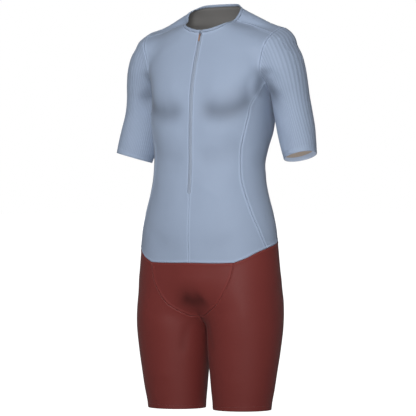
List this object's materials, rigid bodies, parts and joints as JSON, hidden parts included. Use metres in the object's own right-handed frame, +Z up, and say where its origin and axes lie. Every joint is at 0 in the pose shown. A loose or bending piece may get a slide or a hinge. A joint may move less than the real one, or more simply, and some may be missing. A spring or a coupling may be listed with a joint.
{
  "type": "triathlon suit",
  "caption": "Short-sleeved, knee-length stretch race suit, filled out as worn and empty, with ribbed sleeves and a front zip whose pull tab swings.",
  "frame": {"origin": "on the middle line, inside the top of the suit, level with the shoulders beside the neck, where the wearer's shoulders hold the suit up", "axes": "+Z up along the suit, -Y is the front, +X is the wearer's left"},
  "size_m": [0.5436, 0.256, 0.9999],
  "materials": {
    "body_cloth": "smooth knitted stretch cloth, grey blue, faint sheen",
    "rib_cloth": "ribbed knitted stretch cloth, grey blue, ribs along the sleeve",
    "hem_cloth": "turned hem band inside the cuff, paler grey blue",
    "leg_cloth": "smooth dense stretch cloth, dark red brown, soft sheen",
    "binding_cloth": "folded stretch binding, grey blue",
    "zip_tape": "woven tape and moulded coil, grey blue",
    "slider_metal": "satin, tone of the cloth",
    "pull_leather": "matt tan brown"
  },
  "bodies": {
    "garment": {"front_left": "body_cloth", "front_right": "body_cloth", "side_left": "body_cloth", "side_right": "body_cloth", "back": "body_cloth", "sleeve_left": "rib_cloth", "sleeve_right": "rib_cloth", "cuff_hem_left": "hem_cloth", "cuff_hem_right": "hem_cloth", "leg_left": "leg_cloth", "leg_right": "leg_cloth", "gusset": "leg_cloth", "neck_binding": "binding_cloth", "zip_tape": "zip_tape", "zip_slider": "slider_metal"},
    "pull": {"zip_pull": "pull_leather"}
  },
  "joints": [
    {"name": "pull_swing", "type": "hinge", "parent": "garment", "child": "pull", "pos_m": [0, -0.05343, -0.06382], "axis": [-1, 0, 0], "range_deg": [0, 170]}
  ]
}
